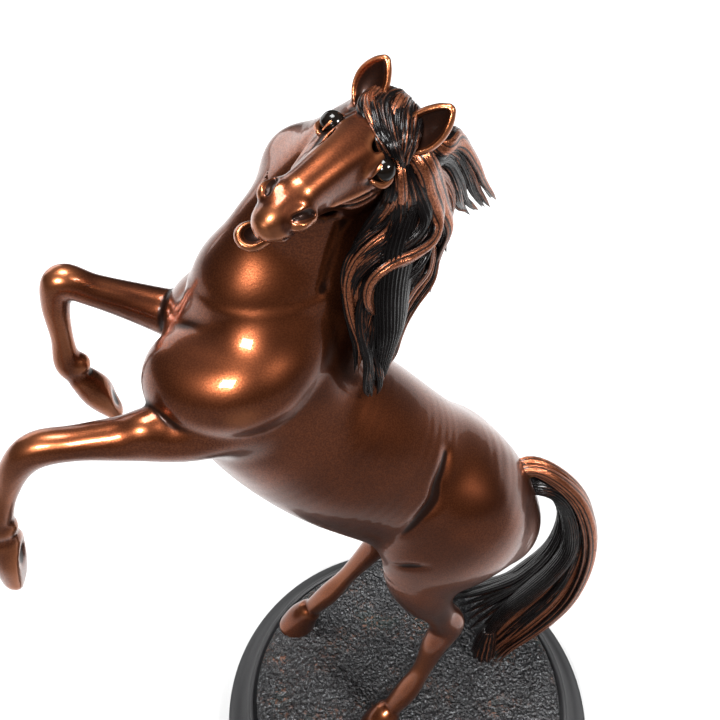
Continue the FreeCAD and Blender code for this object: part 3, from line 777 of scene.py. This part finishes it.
def lay_face(clay):
    """Brow, crests, nostrils, lips and ears laid on; sockets, nostrils, mouth and ear cups carved out, each
    cut darkened with painted shade.
    """
    left = face_axes[1]
    size = head_size
    clay.roll(on_head([(14, 0, -2.2, 4, 2.4), (24, 0, -2.9, 3.4, 2.2), (37, 0, -5.2, 2.8, 2)]), 3, left)
    clay.ball(on_head([(43, 0, -12)])[0], np.array([3.8, 4.4, 3.2]) * size, 1.6, face_axes)
    clay.ball(on_head([(43, -3, -20.2)])[0], np.array([3.4, 3.4, 2.4]) * size, 1.6, face_axes)
    for side, rows in mirrored_on_head([(17, 7, -8, .9), (23, 6.2, -8.6, .9), (29, 5, -9, .7)]):
        clay.roll(rows, 2, left)
    for side, rows in mirrored_on_head([(9, 5.0, -2.8, .8), (12.5, 5.2, -2.6, .8), (16, 5.3, -2.9, .8),
                                        (20, 5.4, -4.0, .7)]):
        clay.roll(rows, 2.2, left)
    for side, rows in mirrored_on_head([(41.5, 4.1, -7.4, 2.2), (38.5, 4.6, -8.2, 1.6)]):
        clay.roll(rows, 1.8, left)
    for side, rows in mirrored_on_head([(14.8, 9.0, -3.8)]):
        clay.ball(rows[0, :3], np.array([4.6, 2.8, 3.0]) * size, 0.8, face_axes, carve=1.0)
    for side, rows in mirrored_on_head([(9.8, 7.8, -1.2)]):
        clay.ball(rows[0, :3], np.array([2.6, 1.6, 2.0]) * size, 1.5, face_axes, carve=0.8)
    clay.roll(on_head([(11, -6, -.6, .6), (15, -6.6, -2.2, 1.1), (20, -6.6, -3.6, 1.1), (25, -5.4, -5, .4)]),
              1.2,
              left, carve=0.9)
    for side, rows in mirrored_on_head([(11.6, 7.0, -3.8, .3), (13.4, 7.0, -2.6, .4), (16.4, 7.0, -2.7, .4),
                                        (18.8, 7.0, -4.2, .3)]):
        clay.roll(rows, 0.6, left)
    for side, rows in mirrored_on_head([(11.6, 7.4, -5.0, .5), (13.6, 9.2, -6.2, .8), (16.6, 9.2, -6.4, .8),
                                        (18.8, 7.8, -5.4, .5)]):
        clay.roll(rows, 0.6, left)
    for side, rows in mirrored_on_head([(43.6, 3.9, -6.2, .8), (42.2, 4.9, -5.4, 1.4), (40.2, 5.2, -5.6, 1.2),
                                        (38.4, 5.0, -6.8, .4)]):
        clay.roll(rows, 0.5, left, carve=1.0)
    for side, rows in mirrored_on_head([(41.4, 4.4, -7.9)]):
        clay.ball(rows[0, :3], np.array([2.6, 1.5, 1.5]) * size, 0.7, face_axes)
    # painted shadow: a shallow recess on the brow under the forelock's edge, darkened
    clay.ball(on_head([(14.4, 3.4, -1.0)])[0], np.array([2.4, 1.2, 1.4]) * size, 1.0, face_axes, carve=1.0)
    clay.roll(on_head([(17, -4.4, -2.0, .3), (22, -3.9, -2.8, .5), (28, -3.2, -4, .3)]), 1.0, left, carve=0.8)
    for side, rows in mirrored_on_head([(18, 8, -9.6, .7), (24, 6.6, -10.8, 1.3), (31, 5.4, -11.2, 1.0),
                                        (36, 5, -11, .4)]):
        clay.roll(rows, 1.6, left, carve=1.0)
    for rows in ([(47.5, 0, -15.2, 6.5, .9), (42, 0, -15.6, 6, .8), (36.5, 0, -15.4, 6, .5),
                  (33, 0, -14.8, 5.6, .2)],
                 [(48, -3, -17.6, 2.4, 1.6), (43, -2.6, -17.8, 2.5, 1.8), (38, -1, -16.6, 2, .7)]):
        clay.roll(on_head(rows), 0.7, left, carve=1.0)
    clay.roll(on_head([(24, 0, -20.5, 1.6, 1.2), (14, 0, -23, 2.6, 2), (6, 0, -23, 2.6, 2)]), 2.5, left,
              carve=1.0)
    for side, rows in mirrored_on_head([(26, 4.9, -13.5, .5), (20, 6.9, -14.5, 1), (14.5, 8.2, -12.2, .5)]):
        clay.roll(rows, 1.6, left, carve=1.0)
    for side, rows in mirrored_on_head([(2.2, 8.6, -10, .8), (1.4, 8.4, -14, 1.3), (1.8, 6.4, -19, 1)]):
        clay.roll(rows, 2.2, left, carve=1.0)
    for side, rows in mirrored_on_head([(45.2, 2.6, -10.4, .3), (44.6, 3.6, -11.6, .45),
                                        (43, 4.5, -12.4, .3)]):
        clay.roll(rows, 0.5, left, carve=1.0)


def lay_ears(clay):
    """Two upright cups, open to the front, with a rolled rim."""
    left = face_axes[1]
    for rows, cup in (
            ([(5.2, 5.8, -3, 3.2, 2.8), (4.6, 7.2, 0, 4.3, 3.0), (3.6, 8.2, 3.2, 4.2, 2.6),
              (2.4, 8.9, 6, 3.0, 1.9),
              (1.7, 9.3, 8, 1.4, 1.0)],
             [(7.2, 6.8, -1, 2, 1.7), (6.4, 7.6, 1.4, 3.4, 2.4), (5.2, 8.3, 3.7, 3.3, 2.1),
              (3.9, 8.8, 6, 2.1, 1.5),
              (2.9, 9.2, 7.4, .9, .8)]),
            ([(5.2, -5.8, -3, 3.2, 2.6), (4.6, -7, 0, 3.9, 2.6), (3.8, -7.5, 2.6, 3.9, 2.3),
              (2.8, -7.7, 5, 2.8, 1.7), (2.1, -7.7, 6.8, 1.3, .9)],
             [(7.2, -6.6, -1, 2.1, 1.7), (6.5, -7.2, 1, 3.3, 2.3), (5.4, -7.5, 3, 3.3, 2.1),
              (4.2, -7.7, 5, 2.2, 1.5), (3.2, -7.7, 6.3, .8, .7)])):
        clay.roll(on_head(rows), 1.2, left, owner=HEAD)
        # painted shade: the ear cups are carved with the strongest darkening, carve=2.0
        clay.roll(on_head(cup), 0.35, left, carve=2.0)


head = Clay((-15, -22, -24), (45, 13, 12), 0.23, poll, face_axes)
lay_neck(head)
lay_skull(head)
lay_face(head)
lay_ears(head)
hollow_gain = 2.2
fine_skin = list(head.skin(1, 24))
fine_skin[3] = fine_skin[3] * hollow_gain
centre = fine_skin[0][fine_skin[1]].mean(1)
past_cut = (centre - neck_cut) @ neck_cut_facing
at_face = (centre - poll) @ face_axes.T
face_low, face_high = (-14, -21.6, -23), (np.inf, 12.6, 11.7)
inside = ((at_face > face_low) & (at_face < face_high)).all(1)
cast("modelled_head", (past_cut > 0) & inside, fine_skin, coat_bronze, ["head_casting"])


def eye_bronze():
    """Eyes of the same bronze, left black and polished under thick lacquer."""
    finish, place, join = new_finish("eye_bronze", Coat_Weight=0.12, Coat_Roughness=0.03,
                                     Specular_IOR_Level=0.25)
    grain = place.node("ShaderNodeTexNoise", None, {"Vector": place, "Scale": 1500.0, "Detail": 2.0})
    join("Base Color", grain.blend((0.0012, 0.0010, 0.0010, 1), (0.005, 0.003, 0.002, 1)))
    join("Roughness", 0.10 + grain * 0.06)
    return finish


def ball_points(centre, radius, rings=24, around=32):
    """A ball: z = r cos p, the circle r sin p around it, poles left one small ring wide."""
    p = np.linspace(0.02, np.pi - 0.02, rings)[:, None]
    a = np.linspace(0, 2 * np.pi, around, endpoint=False)[None, :]
    grid = np.stack([np.sin(p) * np.cos(a), np.sin(p) * np.sin(a), np.cos(p) + 0 * a], -1)
    return (centre + radius * grid)[::-1].reshape(-1, 3), closed_grid(rings, around)


eye_finish = eye_bronze()
for side, rows in mirrored_on_head([(14.8, 7.1, -4.5)]):
    name = "left" if side > 0 else "right"
    points, faces = ball_points(rows[0], 2.75 * head_size)
    piece("modelled_" + name + "_eye", points, faces, eye_finish, ["head_casting"])

# ------------------------------------------------------------------ hair
# Forelock, mane and tail are separate castings.  Each is a dark core with dozens
# of modelled locks laid over it: oval coils ridged into strands, tapering to a
# closed tip, copper rubbed on the raised ribbons and black left between strands.

grow = np.random.default_rng(11)


def lock(path, wide, thick, core, strands, ridge, rows=34, columns=44, twist=0.0):
    """An oval coil along a path, its width across the core's outward direction, ridged into strands.

    Section: u = w cos a, v = t sin a, both grown by ridge * cos(strands * a + twist * run); w and t swell
    from the root and shrink to nothing at the tip.
    """
    path = through(path, rows)
    run = np.concatenate([[0], np.cumsum(np.linalg.norm(np.diff(path, axis=0), axis=1))])
    share = run / run[-1]
    along = np.gradient(path, axis=0)
    along /= np.linalg.norm(along, axis=1, keepdims=True)
    nearest = ((path[:, None] - core[None]) ** 2).sum(-1).argmin(1)
    outward = path - core[nearest]
    outward -= (outward * along).sum(1, keepdims=True) * along
    outward = outward / (np.linalg.norm(outward, axis=1, keepdims=True) + 1e-9)
    for _ in range(3):
        outward[1:-1] = outward[1:-1] * 0.5 + (outward[:-2] + outward[2:]) * 0.25
    outward -= (outward * along).sum(1, keepdims=True) * along
    outward = outward / (np.linalg.norm(outward, axis=1, keepdims=True) + 1e-9)
    across = np.cross(along, outward)
    swell = np.interp(share, [0, 0.06, 0.3, 0.7, 0.93, 1], [0.35, 0.7, 1, 0.95, 0.45, 0.06])[:, None]
    angle = np.linspace(0, 2 * np.pi, columns, endpoint=False)[None, :]
    wave = np.cos(strands * angle + twist * run[:, None])
    grown = 1 + ridge * wave
    u = wide * swell * np.cos(angle) * grown
    v = thick * swell * np.sin(angle) * grown
    points = path[:, None] + u[..., None] * across[:, None] + v[..., None] * outward[:, None]
    around = np.abs(((angle / np.pi + 1) % 2) - 1) + 0 * run[:, None]
    layers = {"ridge": wave * 0.5 + 0.5, "along": run[:, None] + 0 * angle, "around": around * 3.0 * wide,
              "outer": np.sin(angle) + 0 * run[:, None]}
    return points.reshape(-1, 3), layers, (rows, columns)


def bunch(name, locks, finish, nodes):
    """Many locks and cores joined into one casting."""
    points, faces, layers, start = [], [], {}, 0
    for spots, values, shape, copper in locks:
        faces += [face + start for face in closed_grid(*shape)]
        points.append(spots)
        for layer, value in values.items():
            layers.setdefault(layer, []).append(value.reshape(-1))
        layers.setdefault("copper", []).append(np.full(len(spots), copper))
        start += len(spots)
    layers = {layer: np.concatenate(parts) for layer, parts in layers.items()}
    return piece(name, np.concatenate(points), faces, finish, nodes, layers)


def comb(guides, share, jitter):
    """A path between two neighbouring guides, wandering a little in a slow wave."""
    first, second = (through(guide, 12) for guide in guides)
    path = first * (1 - share) + second * share
    t = np.linspace(0, 1, 12)[:, None]
    sway = grow.normal(0, jitter, (1, 3)) * np.sin(np.pi * t * grow.uniform(1, 2.5) + grow.uniform(0, 6))
    return path + sway * np.clip(t * 3, 0, 1)


def hair_bronze(name):
    """Bronze hair: black between the strands, copper along the ridges of the rubbed ribbons."""
    finish, place, join = new_finish(name, Coat_Weight=0.2, Coat_Roughness=0.08, Specular_IOR_Level=0.12)

    def layer(title):
        return place.node("ShaderNodeAttribute", {"attribute_name": title}, None, out=2)

    ridge, copper, outer = layer("ridge"), layer("copper"), layer("outer")
    comb_map = place.node("ShaderNodeCombineXYZ", None, {"X": layer("along") * 0.10, "Y": layer("around")})
    strand = place.node("ShaderNodeTexNoise", None, {"Vector": comb_map, "Scale": 2.6, "Detail": 3.0})
    grain = place.node("ShaderNodeTexNoise", None, {"Vector": place, "Scale": 2600.0, "Detail": 2.0})
    cloud = place.node("ShaderNodeTexNoise", None, {"Vector": place, "Scale": 110.0, "Detail": 2.0})
    facing = outer.rise(-0.1, 0.7)
    broad = copper.rise(0.55, 1.0) * ridge.rise(0.0, 0.35) * strand.rise(0.28, 0.44)
    fine = copper.rise(0.0, 0.5) * ridge.rise(0.45, 0.95) * strand.rise(0.44, 0.62) * cloud.rise(0.38, 0.6)
    rubbed = facing * broad.math("MAXIMUM", broad, fine)
    warm = grain.rise(0.35, 0.65).blend((0.22, 0.065, 0.03, 1), (0.46, 0.16, 0.075, 1))
    join("Base Color", rubbed.blend((0.0025, 0.0017, 0.0017, 1), warm))
    join("Metallic", 0.35 + rubbed * 0.63)
    join("Roughness", 0.32 - grain * 0.08)
    join("Normal",
         place.node("ShaderNodeBump", None, {"Height": strand, "Strength": 0.5, "Distance": 0.0006}))
    return finish


hair = hair_bronze("hair_bronze")

# Forelock: a cap of S-shaped locks from the poll, swept over the brow towards the left eye.
forelock_guides = [
    [(1, -6, .8), (6, -6, .6), (10.5, -4.8, 0), (12.8, -1.5, .2), (14, 2.5, -.2), (14.6, 6, -1.6)],
    [(0, -4, 1.2), (5, -4, 1.6), (9.5, -2.6, 1.4), (12.4, .6, 1), (13.8, 4.2, 0), (13.6, 7.6, -1.8)],
    [(-1, -2, 1.4), (4, -1.8, 2.4), (8.4, -.4, 2.2), (11.6, 2.8, 1.4), (13, 6, .2), (12.4, 8.6, -2)],
    [(-1, 0, 1.4), (3.6, .8, 2.8), (7.4, 2.6, 2.4), (10.4, 5.2, 1.2), (12, 7.6, -.8), (11.4, 9.2, -3)],
    [(-1, 3, .8), (3, 4.6, 2), (6.4, 6.4, 1.4), (9, 8, 0), (10.4, 9.2, -2), (10.2, 9.6, -4)]]
forelock_guides = [on_head(rows) for rows in forelock_guides]
skull_core = through(on_head([(-6, 0, -8), (8, 0, -9), (20, 0, -9)]), 12)
locks = []
for first, second in zip(forelock_guides[:-1], forelock_guides[1:]):
    for share in (0.0, 0.33, 0.66):
        copper = grow.uniform(0.1, 1.0)
        locks.append((*lock(comb((first, second), share, 0.5), grow.uniform(1.2, 1.7), grow.uniform(0.8, 1.2),
                            skull_core, 9, 0.12, twist=0.15), copper))
locks.append((*lock(forelock_guides[4], 1.7, 1.2, skull_core, 7, 0.10), 0.4))
bunch("modelled_forelock", locks, hair, ["forelock_casting"])

# Mane: from the crest over the near side of the neck, with one broad copper S and a flying lock behind.
# Most rows here and in tail_guides are not hand-chosen: a scratch program printed them from points picked
# on the photo and a depth chosen for each.
mane_guides = {
    "fly_low": [(-10, 4, 257), (-5.2, -2, 249.4), (-.9, 4, 244.4), (2.8, 8, 236.8), (5.9, 12, 228.8),
                (8.8, 14, 225.3)],
    "fly_mid": [(-10, 4, 257), (-3.9, 0, 249.3), (1, 6, 246.2), (5.8, 11, 238), (9.5, 15, 229.2),
                (13.4, 18, 222.8)],
    "fly_high": [(-10, 4, 257), (-2.2, 2, 249.6), (3.1, 8, 247.7), (8.5, 13, 239.6), (12.7, 17, 231.7),
                 (18.2, 21, 223.2)],
    "fly_back": [(-10, 4, 257), (-.9, 6, 251.4), (4.9, 12, 246.5), (9.8, 16, 239), (13.9, 19, 232.5),
                 (15.9, 21, 226.2)],
    "border": [(-10, 4, 257), (-6.4, -4, 250.7), (-3.5, 0, 243.5), (-.3, 4, 234.6), (2.1, 7, 227.1),
               (.7, 8, 219.7),
               (0, 9, 211.7), (.1, 10, 205.7)],
    "big_s": [(-12.5, -1, 255.5), (-7.6, -5, 250.2), (-5.1, -3, 243.1), (-2.7, -1, 235.5), (-4, -3, 231.2),
              (-8.7, -5, 229),
              (-13.8, -6.5, 228.1), (-17.7, -7, 224.8), (-18.5, -7, 219.4), (-16.5, -6, 213.7)],
    "second_s": [(-12.5, -1, 255.5), (-9.4, -6, 249.9), (-7, -4, 242.8), (-5.7, -3.5, 236.3),
                 (-8.8, -5, 232.1), (-13.7, -6, 230.4),
                 (-18.4, -6, 226.8), (-20.3, -6, 221.6), (-20.6, -6, 216.1)],
    "third_s": [(-12.5, -1, 255.5), (-10.9, -6.5, 249.2), (-9.3, -5, 242.4), (-10.1, -5, 236.5),
                (-13.7, -5.5, 233.1),
                (-18, -6, 230.4), (-21.3, -5.5, 225.2), (-22.3, -5.5, 218.7), (-21, -5.5, 209.9)],
    "inner": [(-12.5, -1, 255.5), (-12.3, -7, 248.6), (-11.7, -5, 241.5), (-13.6, -5, 236.2),
              (-17.4, -5, 232.7), (-20.8, -5, 228.5),
              (-22.4, -5, 222.5), (-21.8, -5.5, 214.4), (-20.1, -6, 205.6), (-20.6, -6, 197.1)],
    "edge": [(-12.5, -1, 255.5), (-13.5, -7, 247.6), (-14.4, -5, 241.8), (-16.9, -4.5, 237),
             (-19.8, -4.5, 232.9), (-21.6, -4.5, 229.2)],
    "low_right": [(1.7, 8, 219.5), (.3, 8, 210.9), (-3.8, 7, 204.6), (-7, 6, 197.9), (-8.1, 5, 192.2),
                  (-10.2, 4, 189.4)],
    "low_mid": [(-2, 4, 225.6), (-3, 3, 218.6), (-7.2, 1, 214.4), (-10.3, 0, 208.2), (-11.3, 0, 200.5),
                (-12.8, -1, 193.4), (-14.5, -2, 187.8)],
    "low_left": [(-6.8, -2, 226.4), (-10.5, -4, 222.9), (-13.9, -5, 218.6), (-15.4, -5, 211.6),
                 (-15.7, -5, 204),
                 (-14.7, -5, 195.8), (-15, -5, 189.1)],
    "tip_right": [(-15, -5, 217.3), (-16.9, -6, 211.2), (-17, -6.5, 204), (-16.4, -6.5, 196.9),
                  (-16.7, -6, 189.7)],
    "tip_left": [(-17.1, -6, 223.9), (-19.3, -6.5, 217.7), (-19.4, -7, 209.4), (-18, -7, 201.5),
                 (-18.4, -7, 193.4), (-17.3, -6.5, 188.9)]}
neck_core = through([(-41, 8, 193), (-30, 9, 221), (-19, 9, 244), (-14, 6, 252)], 40)
pairs = [("edge", "inner", 3), ("inner", "third_s", 5), ("third_s", "second_s", 5), ("second_s", "big_s", 4),
         ("big_s", "border", 3), ("border", "fly_low", 4), ("fly_low", "fly_mid", 4), ("fly_mid", "fly_high",
                                                                                       4),
         ("fly_high", "fly_back", 4), ("tip_left", "tip_right", 3), ("tip_right", "low_left", 3),
         ("low_left", "low_mid", 4), ("low_mid", "low_right", 5),
         ("second_s", "low_left", 3), ("big_s", "low_mid", 3)]
locks = []
core = np.array([(-8, 1, 252, 8, 4.5), (-7, 1, 243, 9, 5), (-9, 0, 234, 10, 5), (-11, 0, 222, 11, 5),
                 (-12, 0, 209, 9, 4.5), (-14, -2, 196, 5, 3.5), (-15, -4, 189, 2, 1.5)])
locks.append((*lock(core[:, :3], 9.5, 4.5, neck_core, 37, 0.035, columns=160), 0.0))
for first, second, count in pairs:
    for share in np.arange(count) / count:
        path = comb((mane_guides[first], mane_guides[second]), share, 0.6)
        locks.append((*lock(path, grow.uniform(1.2, 1.9), grow.uniform(0.9, 1.3), neck_core, 11, 0.10,
                            twist=grow.uniform(-0.1, 0.1)), grow.choice([0.12, 0.3, 0.45, 0.8])))
for name, wide, thick in (("big_s", 2.3, 1.5), ("border", 2.2, 1.5), ("fly_high", 2.0, 1.3),
                          ("low_mid", 1.8, 1.2),
                          ("inner", 1.5, 1.2)):
    outward = np.array([0.35, -0.75, 0.5])
    locks.append((*lock(np.array(mane_guides[name]) + outward, wide, thick, neck_core, 5, 0.06), 1.0))
bunch("modelled_mane", locks, hair, ["mane_casting"])

# Tail: a smooth root, then a sickle of locks: copper on the outer edge, black within, fanned on the turf.
# Most rows were printed by a scratch program, as in mane_guides.
tail_guides = [
    [(27, 8, 133), (36.3, 8, 134.8), (45.4, 6, 129.5), (53.9, 4, 118.6), (59.7, 3, 102.5), (62.1, 3, 84.4),
     (60.4, 3, 65.8),
     (55.4, 3, 52.3), (48.7, 3, 42), (42, 4, 31), (38, 5, 20)],
    [(27, 8, 132), (36.5, 8, 133.3), (45.1, 7, 125.9), (52.8, 6, 113.7), (58.2, 6, 95.9), (58.6, 6, 77.8),
     (55, 6, 61.2),
     (49.1, 6, 49.1), (42.8, 6, 37.9), (38, 7, 28), (35, 8, 19.5)],
    [(27, 9, 130.5), (37.1, 9, 131.1), (45.2, 9, 121.4), (52.3, 9, 107.2), (55.2, 9, 90.7), (52.8, 9, 74.2),
     (46.6, 10, 60.2),
     (39.8, 11, 46.8), (34.5, 11, 33.8), (32, 11, 20)],
    [(27, 10, 129), (37.5, 10, 128.8), (46.5, 10, 119), (53, 11, 104), (54, 12, 88), (50, 14, 71.4),
     (43, 18, 54.9),
     (32, 26, 39), (25.5, 36, 23)],
    [(27, 10, 128), (37.5, 10, 127.8), (46.5, 10, 117), (53, 12, 101), (53, 15, 79), (47.5, 19, 61),
     (40.5, 24, 44.5),
     (30, 34, 29), (23.5, 43, 21)]]
tail_core = through([(20, 16, 122), (36, 18, 112), (38, 22, 88), (32, 26, 60), (26, 30, 30)], 40)
locks = []
core = np.array([(28, 8.5, 130), (44, 7, 126), (53, 7, 112), (57, 7, 93), (54, 8, 76), (48, 9, 62),
                 (41, 10, 48),
                 (35, 9.5, 34), (33, 9, 18)])
locks.append((*lock(core, 6.5, 3.4, tail_core, 31, 0.035, columns=140, rows=48), 0.15))
for number, (first, second) in enumerate(zip(tail_guides[:-1], tail_guides[1:])):
    for share in np.arange(7) / 7:
        path = comb((first, second), share, 0.5)
        copper = (1.0, 0.7, 0.4, 0.35)[number] * grow.uniform(0.5, 1.2)
        locks.append((*lock(path, grow.uniform(1.7, 2.5), grow.uniform(1.3, 1.8), tail_core, 11, 0.09,
                            rows=48, twist=grow.uniform(-0.06, 0.06)), copper))
locks.append((*lock(tail_guides[4], 2.0, 1.6, tail_core, 9, 0.08, rows=48), 0.3))
for shift, wide in (((-0.4, -1.6, 0.2), 2.4), ((-2.2, -1.0, -1.0), 1.6), ((0.2, 1.2, 0.6), 2.2)):
    locks.append((*lock(np.array(tail_guides[0]) + shift, wide, wide * 0.75, tail_core, 5, 0.05, rows=48),
                  1.0))
for turn in np.linspace(0, 2 * np.pi, 9, endpoint=False):
    out = np.array([np.cos(turn), np.sin(turn), 0])
    curl = [np.array([34, 9.5, 36]) + out * 1.5, np.array([33.5, 9.3, 27]) + out * 2.4,
            np.array([33, 9, 20]) + out * 3.2, np.array([33, 9, 16.6]) + out * 5.5]
    locks.append((*lock(curl, 2.2, 1.8, tail_core, 7, 0.12, rows=16, columns=28), 0.3))
bunch("modelled_tail", locks, hair, ["tail_casting"])

# ------------------------------------------------------------------ studio


# The place and tilt come from a program's fit to the plinth's outlines in the photo.
def place_camera():
    """A 42.5 mm lens looking down 43 degrees, 10 degrees off the statue's flank."""
    forward = Vector((0.127, 0.7195, -0.683)).normalized()
    right = Vector((0.985, -0.174, 0)).normalized()
    upward = right.cross(forward)
    lens = bpy.data.cameras.new("camera")
    lens.lens, lens.sensor_width, lens.clip_start = 42.5, 36, 0.01
    camera = bpy.data.objects.new("camera", lens)
    camera.matrix_world = Matrix((
        (right.x, upward.x, -forward.x, -0.0448), (right.y, upward.y, -forward.y, -0.1484),
        (right.z, upward.z, -forward.z, 0.3361), (0, 0, 0, 1)))
    bpy.context.scene.collection.objects.link(camera)
    bpy.context.scene.camera = camera


def lamp(name, place, size, power, tall=None):
    """A soft box aimed at the middle of the horse."""
    light = bpy.data.lights.new(name, "AREA")
    light.energy, light.size = power, size
    if tall:
        light.shape, light.size_y = "RECTANGLE", tall
    thing = bpy.data.objects.new(name, light)
    thing.location = place
    aim = Vector((-0.03, 0.008, 0.15)) - thing.location
    thing.rotation_euler = aim.to_track_quat("-Z", "Y").to_euler()
    bpy.context.scene.collection.objects.link(thing)
    return thing


def dim_room(low, high):
    """A room dark round the sides and brighter towards the ceiling."""
    world = bpy.data.worlds.new("dim_room")
    world.use_nodes = True
    tree = world.node_tree
    generated = Wire(tree, tree.nodes.new("ShaderNodeTexCoord").outputs["Generated"])
    height = generated.node("ShaderNodeSeparateXYZ", None, {"Vector": generated}, out=2)
    glow = low + height.rise(0.1, 1.0) * (high - low)
    tree.links.new(glow.socket, tree.nodes["Background"].inputs["Strength"])
    tree.nodes["Background"].inputs["Color"].default_value = (1, 1, 1, 1)
    bpy.context.scene.world = world
    bpy.context.scene.view_settings.view_transform = "Standard"


def pale_floor():
    """A pale table: paler with a faint painted glow behind the statue, and painted shade on the side of the
    camera.
    """
    finish, place, join = new_finish("pale_floor", Roughness=1.0, Specular_IOR_Level=0.0,
                                     Emission_Strength=1.0)
    back = place.node("ShaderNodeSeparateXYZ", None, {"Vector": place}, out=1)
    # painted shade: the table's colour is darker on the side of the camera
    join("Base Color", back.rise(-0.16, -0.02).blend((0.10, 0.10, 0.10, 1), (0.40, 0.40, 0.40, 1)))
    # painted glow: the table gives off light behind the statue, though it is no lamp
    join("Emission Color", back.rise(-0.10, 0.35).blend((0.05, 0.05, 0.05, 1), (0.85, 0.85, 0.85, 1)))
    mesh = bpy.data.meshes.new("floor")
    mesh.from_pydata([(-3, -3, 0), (3, -3, 0), (3, 3, 0), (-3, 3, 0)], [], [(0, 1, 2, 3)])
    floor = bpy.data.objects.new("floor", mesh)
    mesh.materials.append(finish)
    bpy.context.scene.collection.objects.link(floor)


pale_floor()
dim_room(0.02, 0.27)
lamp("window", (-0.45, -0.75, 0.80), 0.30, 20, 0.22)
lamp("side_lamp", (0.55, -0.45, 0.75), 0.25, 11, 0.15)
lamp("top_lamp", (-0.05, 0.05, 1.1), 0.40, 15, 0.40)
lamp("backdrop", (-0.7, 1.1, 0.55), 0.9, 5,
                                                                    0.7)
place_camera()
